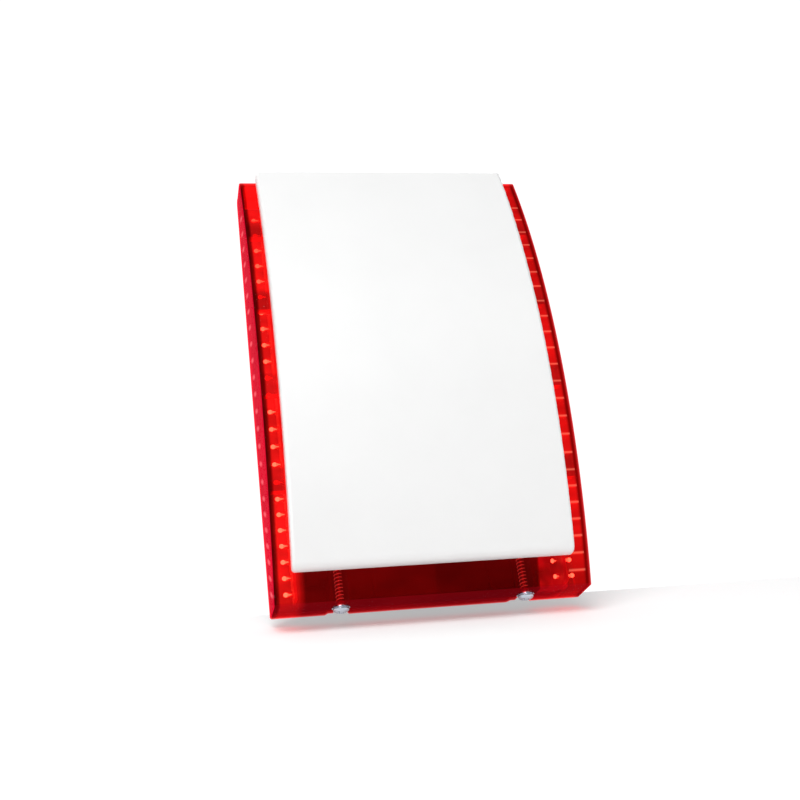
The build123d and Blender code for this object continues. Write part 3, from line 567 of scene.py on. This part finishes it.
# ---- mesh helpers -------------------------------------------------------------------------
def add_piece(name, bm, slot, body=BASE, material=None, smooth=True):
    """Make a piece of the bmesh, in the finish of its slot, and let it ride on a body."""
    bmesh.ops.recalc_face_normals(bm, faces=bm.faces)
    mesh = bpy.data.meshes.new(name)
    bm.to_mesh(mesh)
    bm.free()
    piece = bpy.data.objects.new(name, mesh)
    bpy.context.collection.objects.link(piece)
    mesh.materials.append(material or MATERIALS[slot])
    for polygon in mesh.polygons:
        polygon.use_smooth = smooth
    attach(piece, body)
    return piece


def ring_of(bm, centre, side, across, radius, segments):
    """Vertices of a circle about centre, in the plane of side and across."""
    angles = (2 * math.pi * step / segments for step in range(segments))
    return [bm.verts.new(centre + (side * math.cos(a) + across * math.sin(a)) * radius) for a in angles]


def join_rings(bm, low, high):
    """Faces between two rings; a ring of one vertex is a point."""
    if len(low) == len(high) == 1:
        return
    count = max(len(low), len(high))
    for step in range(count):
        after = (step + 1) % count
        if len(low) == 1:
            bm.faces.new((low[0], high[after], high[step]))
        elif len(high) == 1:
            bm.faces.new((low[step], low[after], high[0]))
        else:
            bm.faces.new((low[step], low[after], high[after], high[step]))


def lathe(bm, profile, origin, axis, segments=48):
    """Closed solid turned from (radius, along) points about an axis through origin."""
    axis = Vector(axis).normalized()
    side = axis.orthogonal().normalized()
    across = axis.cross(side)
    rings = []
    for radius, along in profile:
        centre = Vector(origin) + axis * along
        if radius < MERGE_DISTANCE:
            rings.append([bm.verts.new(centre)])
        else:
            rings.append(ring_of(bm, centre, side, across, radius, segments))
    for low, high in zip(rings, rings[1:]):
        join_rings(bm, low, high)


def block(bm, low, high, bevel):
    """Box between two corners, with its edges rounded off."""
    low, high = Vector(low), Vector(high)
    centre, size = (low + high) / 2, high - low
    made = bmesh.ops.create_cube(bm, size=1.0)["verts"]
    for vert in made:
        vert.co = Vector(c + v * s for c, v, s in zip(centre, vert.co, size))
    edges = list({edge for vert in made for edge in vert.link_edges})
    bmesh.ops.bevel(bm, geom=edges, offset=bevel, segments=2, affect="EDGES")


def tube(bm, points, radius, segments):
    """Round wire along points, closed at both ends."""
    rings = []
    for index, point in enumerate(points):
        before, after = points[max(index - 1, 0)], points[min(index + 1, len(points) - 1)]
        ahead = (after - before).normalized()
        side = ahead.cross(Vector((0, 1, 0.01))).normalized()
        rings.append(ring_of(bm, point, side, ahead.cross(side), radius, segments))
    for low, high in zip(rings, rings[1:]):
        join_rings(bm, low, high)
    bm.faces.new(rings[0][::-1])
    bm.faces.new(rings[-1])


def solids_of(node):
    """Boxes of the separate solids in a CAD node, as (low, high) corners."""
    bm = bmesh.new()
    bm.from_mesh(frame["nodes"][node].data)
    bmesh.ops.remove_doubles(bm, verts=bm.verts, dist=MERGE_DISTANCE)
    left, boxes = set(bm.verts), []
    while left:
        group, waiting = [], [left.pop()]
        while waiting:
            vert = waiting.pop()
            group.append(vert.co.copy())
            for edge in vert.link_edges:
                other = edge.other_vert(vert)
                if other in left:
                    left.discard(other)
                    waiting.append(other)
        low = Vector(min(c[i] for c in group) for i in range(3))
        high = Vector(max(c[i] for c in group) for i in range(3))
        boxes.append((low, high))
    bm.free()
    return sorted(boxes, key=lambda b: (round(b[0].z, 5), round(b[0].x, 5)))


# ---- LED strips ---------------------------------------------------------------------------
LED_LENGTH = 6.1 * MM
LED_CORE = [
    (0.0, 0.8),
    (0.25, 0.9),
    (0.4, 2.0),
    (0.85, 3.2),
    (1.42, 4.3),
    (1.42, 4.8),
    (1.05, 5.6),
    (0.5, 6.0),
    (0.0, 6.05),
]
LED_SHELL = [(0.0, 0.0), (1.9, 0.0), (1.9, 0.9), (1.5, 1.0), (1.5, 3.7), (0.0, 3.7)]
RESISTOR_FROM_BACK = 3.2 * MM
RESISTOR_HEIGHT = 0.5 * MM
RESISTOR_HALF = (0.6 * MM, 0.7 * MM)
RESISTOR_END_HALF = (0.62 * MM, 0.2 * MM)
END_OFFSET = 0.85 * MM
PART_EDGE = 0.06 * MM
END_EDGE = 0.05 * MM


def light_up(node, direction):
    """Lit bullet LEDs: a glowing drop that narrows to the lead frame, in a clear rimmed barrel."""
    glow, barrel = bmesh.new(), bmesh.new()
    for low, high in solids_of(node):
        centre = (low + high) / 2
        root = low.x if direction > 0 else high.x
        stretch = (high.x - low.x) / LED_LENGTH
        origin, axis = (root, centre.y, centre.z), (direction, 0, 0)
        lathe(glow, [(r * MM, a * stretch * MM) for r, a in LED_CORE], origin, axis, 20)
        lathe(barrel, [(r * MM, a * stretch * MM) for r, a in LED_SHELL], origin, axis, 24)
    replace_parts(add_piece(node + "_glow", glow, "led_lens", material=LED_LIT), node)
    add_piece(node + "_barrels", barrel, "led_lens")


def make_led_resistors(side):
    """Chip resistors on the face of the LED board, one beside each LED."""
    sign = SIDES[side]
    board_low, board_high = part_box("led_board_" + side)
    face = board_high.x if sign > 0 else board_low.x
    near, far = sorted((face, face + sign * RESISTOR_HEIGHT))
    y = board_high.y - RESISTOR_FROM_BACK
    half_y, half_z = RESISTOR_HALF
    end_y, end_z = RESISTOR_END_HALF
    bodies, ends = bmesh.new(), bmesh.new()
    for low, high in solids_of("leds_" + side):
        z = (low.z + high.z) / 2
        block(bodies, (near, y - half_y, z - half_z), (far, y + half_y, z + half_z), PART_EDGE)
        for end in (-1, 1):
            middle = z + end * END_OFFSET
            block(ends, (near, y - end_y, middle - end_z), (far, y + end_y, middle + end_z), END_EDGE)
    add_piece("led_resistors_" + side, bodies, "black_plastic", smooth=False)
    add_piece("led_resistor_ends_" + side, ends, "nickel", smooth=False)


# ---- screws -------------------------------------------------------------------------------
THREAD_PITCH = 2.24 * MM
THREAD_R = 2.5 * MM
THREAD_CORE_R = 1.75 * MM
THREAD_TIP_R = 0.8 * MM
THREAD_TIP_LENGTH = 1.2 * MM
THREAD_MARGIN = 1.5 * MM
THREAD_PROFILE = [(-0.5, 0.0), (-0.16, 0.0), (-0.04, 1.0), (0.04, 1.0), (0.16, 0.0)]
THREAD_STEPS = 36
HEAD_R = 5.0 * MM
HEAD_HEIGHT = 3.3 * MM
HEAD_EDGE = 0.25
RING_CROWDING = 0.8
RECESS_HALF_WIDTH = 0.15
RECESS_HALF_LENGTH = 0.64
RECESS_DEPTH = 0.50
SMALL_SHANK = 0.5
SMALL_HEADS = {
    "pcb_screws": 1.6 * MM,
    "terminal_screws": 1.4 * MM,
    "strap_screws": 1.6 * MM,
    "horn_screws": 1.7 * MM,
}


def helical_thread(bm, x, y, z_low, z_high):
    """Single-start thread with a sharp crest, which fades out over a turn at both ends."""
    count = int((z_high - z_low) / THREAD_PITCH * THREAD_STEPS)
    rows = []
    for step in range(count + 1):
        angle = 2 * math.pi * step / THREAD_STEPS
        z = z_low + THREAD_PITCH * step / THREAD_STEPS
        fade = min(1.0, step / THREAD_STEPS, (count - step) / THREAD_STEPS)
        row = []
        for along, out in THREAD_PROFILE:
            radius = THREAD_CORE_R + (THREAD_R - THREAD_CORE_R) * out * fade
            height = min(max(z + along * THREAD_PITCH, z_low), z_high)
            row.append(bm.verts.new((x + radius * math.cos(angle), y + radius * math.sin(angle), height)))
        rows.append(row)
    for low, high in zip(rows, rows[1:]):
        for a, b in zip(range(len(low)), range(1, len(low))):
            bm.faces.new((low[a], high[a], high[b], low[b]))
    for step in range(len(rows) - THREAD_STEPS - 1):
        above = step + THREAD_STEPS
        bm.faces.new((rows[step][-1], rows[step + 1][-1], rows[above + 1][0], rows[above][0]))


def recess_depth(u, v, radius):
    """Depth of the cross recess at one point of a head of that radius."""
    a, b = (u + v) / math.sqrt(2), (u - v) / math.sqrt(2)
    half_width, half_length = RECESS_HALF_WIDTH * radius, RECESS_HALF_LENGTH * radius
    depth = 0.0
    for along, across in ((a, b), (b, a)):
        if abs(across) < half_width and abs(along) < half_length:
            depth = max(depth, RECESS_DEPTH * radius * (1 - (along / half_length) ** 2))
    return depth


def recessed_head(bm, seat, outward, radius, height, rings=26, spokes=96):
    """Domed pan head with a tapered cross recess, closed at its seat."""
    turn = Vector(outward).to_track_quat("Z", "Y").to_matrix()
    seat = Vector(seat)
    angles = [2 * math.pi * spoke / spokes for spoke in range(spokes)]
    rows = [[bm.verts.new(seat + turn @ Vector((0, 0, height - recess_depth(0, 0, radius))))]]
    for ring in range(1, rings + 1):
        share = (ring / rings) ** RING_CROWDING
        dome = height * (HEAD_EDGE + (1 - HEAD_EDGE) * math.sqrt(1 - share**2))
        row = []
        for angle in angles:
            u, v = share * radius * math.cos(angle), share * radius * math.sin(angle)
            row.append(bm.verts.new(seat + turn @ Vector((u, v, dome - recess_depth(u, v, radius)))))
        rows.append(row)
    rim = (Vector((radius * math.cos(angle), radius * math.sin(angle), 0.0)) for angle in angles)
    rows.append([bm.verts.new(seat + turn @ point) for point in rim])
    for inner, outer in zip(rows, rows[1:]):
        join_rings(bm, inner, outer)
    bm.faces.new(rows[-1])


def make_cover_screw(side):
    """Cover screw that points up: head with a cross recess, core and thread."""
    node, body = "cover_screw_" + side, "screw_" + side
    low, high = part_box(node)
    x, y = (low.x + high.x) / 2, (low.y + high.y) / 2
    seat = low.z + HEAD_HEIGHT
    head, shank = bmesh.new(), bmesh.new()
    recessed_head(head, (x, y, seat), (0, 0, -1), HEAD_R, HEAD_HEIGHT)
    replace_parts(add_piece("screw_head_" + side, head, "zinc_steel", body), node)
    length = high.z - seat
    shoulder = length - THREAD_TIP_LENGTH
    core = [(0, 0), (THREAD_CORE_R, 0), (THREAD_CORE_R, shoulder), (THREAD_TIP_R, length), (0, length)]
    lathe(shank, core, (x, y, seat), (0, 0, 1), THREAD_STEPS)
    helical_thread(shank, x, y, seat + THREAD_MARGIN, high.z - THREAD_MARGIN)
    add_piece("screw_thread_" + side, shank, "zinc_steel", body, THREAD_PAINTED_GLINT)


def make_small_screws(node, head_height):
    """Pan head screws that face out of the wall, one for each solid of the node."""
    bm = bmesh.new()
    for low, high in solids_of(node):
        x, z = (low.x + high.x) / 2, (low.z + high.z) / 2
        radius = (high.x - low.x) / 2
        seat = low.y + head_height
        recessed_head(bm, (x, seat, z), (0, -1, 0), radius, head_height, 12, 40)
        shank_r, shank = SMALL_SHANK * radius, high.y - seat
        profile = [(0, 0), (shank_r, 0), (shank_r, shank), (0, shank)]
        lathe(bm, profile, (x, seat, z), (0, 1, 0), 20)
    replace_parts(add_piece(node + "_shaped", bm, "zinc_steel"), node)


# ---- horn and tamper switch ---------------------------------------------------------------
HORN_WALL = 2.0 * MM
HORN_RIM_R = 1.5 * MM
HORN_RIM_DEPTH = 2.0 * MM
HORN_SKIRT = 4.0 * MM
HORN_MOUTH_EDGE = 3.0 * MM
HORN_THROAT_R = 14.0 * MM
HORN_FLARE = 1.8
HORN_STEPS = 36
RIM_STEPS = 8
SPRING_WIRE_R = 0.22 * MM
SPRING_TURNS = 6
SPRING_STEPS = 20


def make_horn_bell():
    """Smooth flared bell with a rolled rim."""
    low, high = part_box("horn_bell")
    radius, depth = (high.x - low.x) / 2, high.y - low.y
    flare = radius - HORN_MOUTH_EDGE - HORN_THROAT_R
    inner, outer = [], []
    for step in range(HORN_STEPS + 1):
        share = step / HORN_STEPS
        reach = HORN_THROAT_R + flare * share**HORN_FLARE
        inner.append((reach, (depth - HORN_RIM_DEPTH) * share))
        outer.append((reach + HORN_WALL, (depth - HORN_RIM_DEPTH) * share))
    rim = []
    for step in range(RIM_STEPS + 1):
        angle = math.pi * step / RIM_STEPS
        out, ahead = 1 + math.cos(angle), 1 - math.sin(angle)
        rim.append((radius - HORN_RIM_R * out, depth - HORN_RIM_R * ahead))
    profile = inner + rim + [(radius, depth - HORN_SKIRT)] + outer[-2::-1] + [inner[0]]
    bm = bmesh.new()
    lathe(bm, profile, ((low.x + high.x) / 2, high.y, (low.z + high.z) / 2), (0, -1, 0), 128)
    bmesh.ops.remove_doubles(bm, verts=bm.verts, dist=MERGE_DISTANCE)
    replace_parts(add_piece("horn_bell_smooth", bm, "black_plastic"), "horn_bell")


def make_tamper_spring():
    """Wire spring of six turns."""
    low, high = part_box("tamper_spring")
    x, z = (low.x + high.x) / 2, (low.z + high.z) / 2
    reach = (high.x - low.x) / 2 - SPRING_WIRE_R
    rise = high.y - low.y - 2 * SPRING_WIRE_R
    count = SPRING_TURNS * SPRING_STEPS
    points = []
    for step in range(count + 1):
        angle = 2 * math.pi * step / SPRING_STEPS
        y = high.y - SPRING_WIRE_R - rise * step / count
        points.append(Vector((x + reach * math.cos(angle), y, z + reach * math.sin(angle))))
    bm = bmesh.new()
    tube(bm, points, SPRING_WIRE_R, 8)
    piece = add_piece("tamper_spring_coil", bm, "zinc_steel")
    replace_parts(piece, "tamper_spring")
    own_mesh(piece)


# ---- main board ---------------------------------------------------------------------------
BOARD_SEED = 7
BOARD_TRIES = 600
BOARD_TOP_MARGIN = 5.0 * MM
BOARD_SIDE_MARGIN = 6.0 * MM
BOARD_LOW_MARGIN = 16.0 * MM
KEEP_CLEAR = 3.0 * MM
CHIP_SPACING = (3.4 * MM, 2.4 * MM)
CHIP_HALF = (0.7 * MM, 0.5 * MM)
CHIP_HEIGHT = 0.5 * MM
CHIP_END_HALF = (0.2 * MM, 0.52 * MM)
CHIP_END_HEIGHT = 0.52 * MM
LEG_COUNT = 8
LEG_HALF_WIDTH = 0.2 * MM
LEG_HEIGHT = 0.3 * MM
LEG_LENGTH = 0.9 * MM
CAP_FOOT = 0.78
CAP_FACE = 0.74
CAP_HEIGHT = 0.12 * MM
CAP_SINK = 0.02 * MM
BIG_PARTS = (
    "terminal_block",
    "relay",
    "controller_chip",
    "transformer_core",
    "fuse",
    "fuse_clips",
    "jumper_header",
)
GROUPED_PARTS = ("capacitors", "lead_sockets", "pcb_screws")


def chip_places():
    """Free places for chip parts on the board's face, on a grid of 1 mm."""
    low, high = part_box("main_pcb")
    taken = [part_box(node) for node in BIG_PARTS]
    for node in GROUPED_PARTS:
        taken += solids_of(node)
    draw = random.Random(BOARD_SEED)
    places = []
    for _ in range(BOARD_TRIES):
        x = round(draw.uniform(low.x + BOARD_SIDE_MARGIN, high.x - BOARD_SIDE_MARGIN) / MM) * MM
        z = round(draw.uniform(low.z + BOARD_LOW_MARGIN, high.z - BOARD_TOP_MARGIN) / MM) * MM
        blocked = any(
            a.x - KEEP_CLEAR < x < b.x + KEEP_CLEAR and a.z - KEEP_CLEAR < z < b.z + KEEP_CLEAR
            for a, b in taken
        )
        crowded = any(abs(x - u) < CHIP_SPACING[0] and abs(z - w) < CHIP_SPACING[1] for u, w in places)
        if not blocked and not crowded:
            places.append((x, z))
    return places


def make_chip_parts(face):
    """Chip resistors and capacitors that lie along the board, with their tinned ends."""
    bodies, ends = bmesh.new(), bmesh.new()
    half_x, half_z = CHIP_HALF
    end_x, end_z = CHIP_END_HALF
    for x, z in chip_places():
        low = (x - half_x, face - CHIP_HEIGHT, z - half_z)
        block(bodies, low, (x + half_x, face, z + half_z), PART_EDGE)
        for end in (-1, 1):
            middle = x + end * END_OFFSET
            low = (middle - end_x, face - CHIP_END_HEIGHT, z - end_z)
            block(ends, low, (middle + end_x, face, z + end_z), END_EDGE)
    add_piece("board_chip_parts", bodies, "black_plastic", smooth=False)
    add_piece("board_tinned_ends", ends, "nickel", smooth=False)


def make_legs_and_tops(face):
    """Legs of the controller chip and bare metal tops of the round capacitors."""
    bm = bmesh.new()
    chip_low, chip_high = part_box("controller_chip")
    for step in range(LEG_COUNT):
        x = chip_low.x + (step + 1) * (chip_high.x - chip_low.x) / (LEG_COUNT + 1)
        for z, out in ((chip_low.z, -1), (chip_high.z, 1)):
            near, far = sorted((z, z + out * LEG_LENGTH))
            low = (x - LEG_HALF_WIDTH, face - LEG_HEIGHT, near)
            block(bm, low, (x + LEG_HALF_WIDTH, face, far), END_EDGE)
    for low, high in solids_of("capacitors"):
        centre = (low + high) / 2
        radius = (high.x - low.x) / 2
        foot, top = CAP_FOOT * radius, CAP_FACE * radius
        profile = [(0, 0), (foot, 0), (top, CAP_HEIGHT), (0, CAP_HEIGHT)]
        lathe(bm, profile, (centre.x, low.y + CAP_SINK, centre.z), (0, -1, 0), 32)
    add_piece("board_legs_and_tops", bm, "nickel", smooth=False)


# ---- battery ------------------------------------------------------------------------------
SEAM_BELOW_TOP = 6.5 * MM
SEAM_HEIGHT = 0.9 * MM
SEAM_PROUD = 0.25 * MM
SEAM_EDGE = 0.2 * MM
LABEL_SIDE = 14.0 * MM
LABEL_LOW = 4.0 * MM
LABEL_HIGH = 18.0 * MM
LABEL_THICKNESS = 0.12 * MM


def make_battery_details():
    """Lid seam and blank label of the sealed battery."""
    low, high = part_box("battery_case")
    seam, label = bmesh.new(), bmesh.new()
    z = high.z - SEAM_BELOW_TOP
    seam_low = (low.x - SEAM_PROUD, low.y - SEAM_PROUD, z)
    block(seam, seam_low, (high.x + SEAM_PROUD, high.y, z + SEAM_HEIGHT), SEAM_EDGE)
    label_low = (low.x + LABEL_SIDE, low.y - LABEL_THICKNESS, low.z + LABEL_LOW)
    block(label, label_low, (high.x - LABEL_SIDE, low.y, low.z + LABEL_HIGH), END_EDGE)
    add_piece("battery_lid_seam", seam, "battery_abs", smooth=False)
    add_piece("battery_blank_label", label, "white_nylon", smooth=False)


# ---- the scene ----------------------------------------------------------------------------
make_camera()
make_floor()
make_world()
make_softbox()
dress_nodes()
for side_name, sign in SIDES.items():
    light_up("leds_" + side_name, sign)
    make_led_resistors(side_name)
    make_cover_screw(side_name)
light_up("pilot_leds", -1)
for screw_node, height in SMALL_HEADS.items():
    make_small_screws(screw_node, height)
make_horn_bell()
make_tamper_spring()
board_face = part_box("main_pcb")[0].y
make_chip_parts(board_face)
make_legs_and_tops(board_face)
make_battery_details()
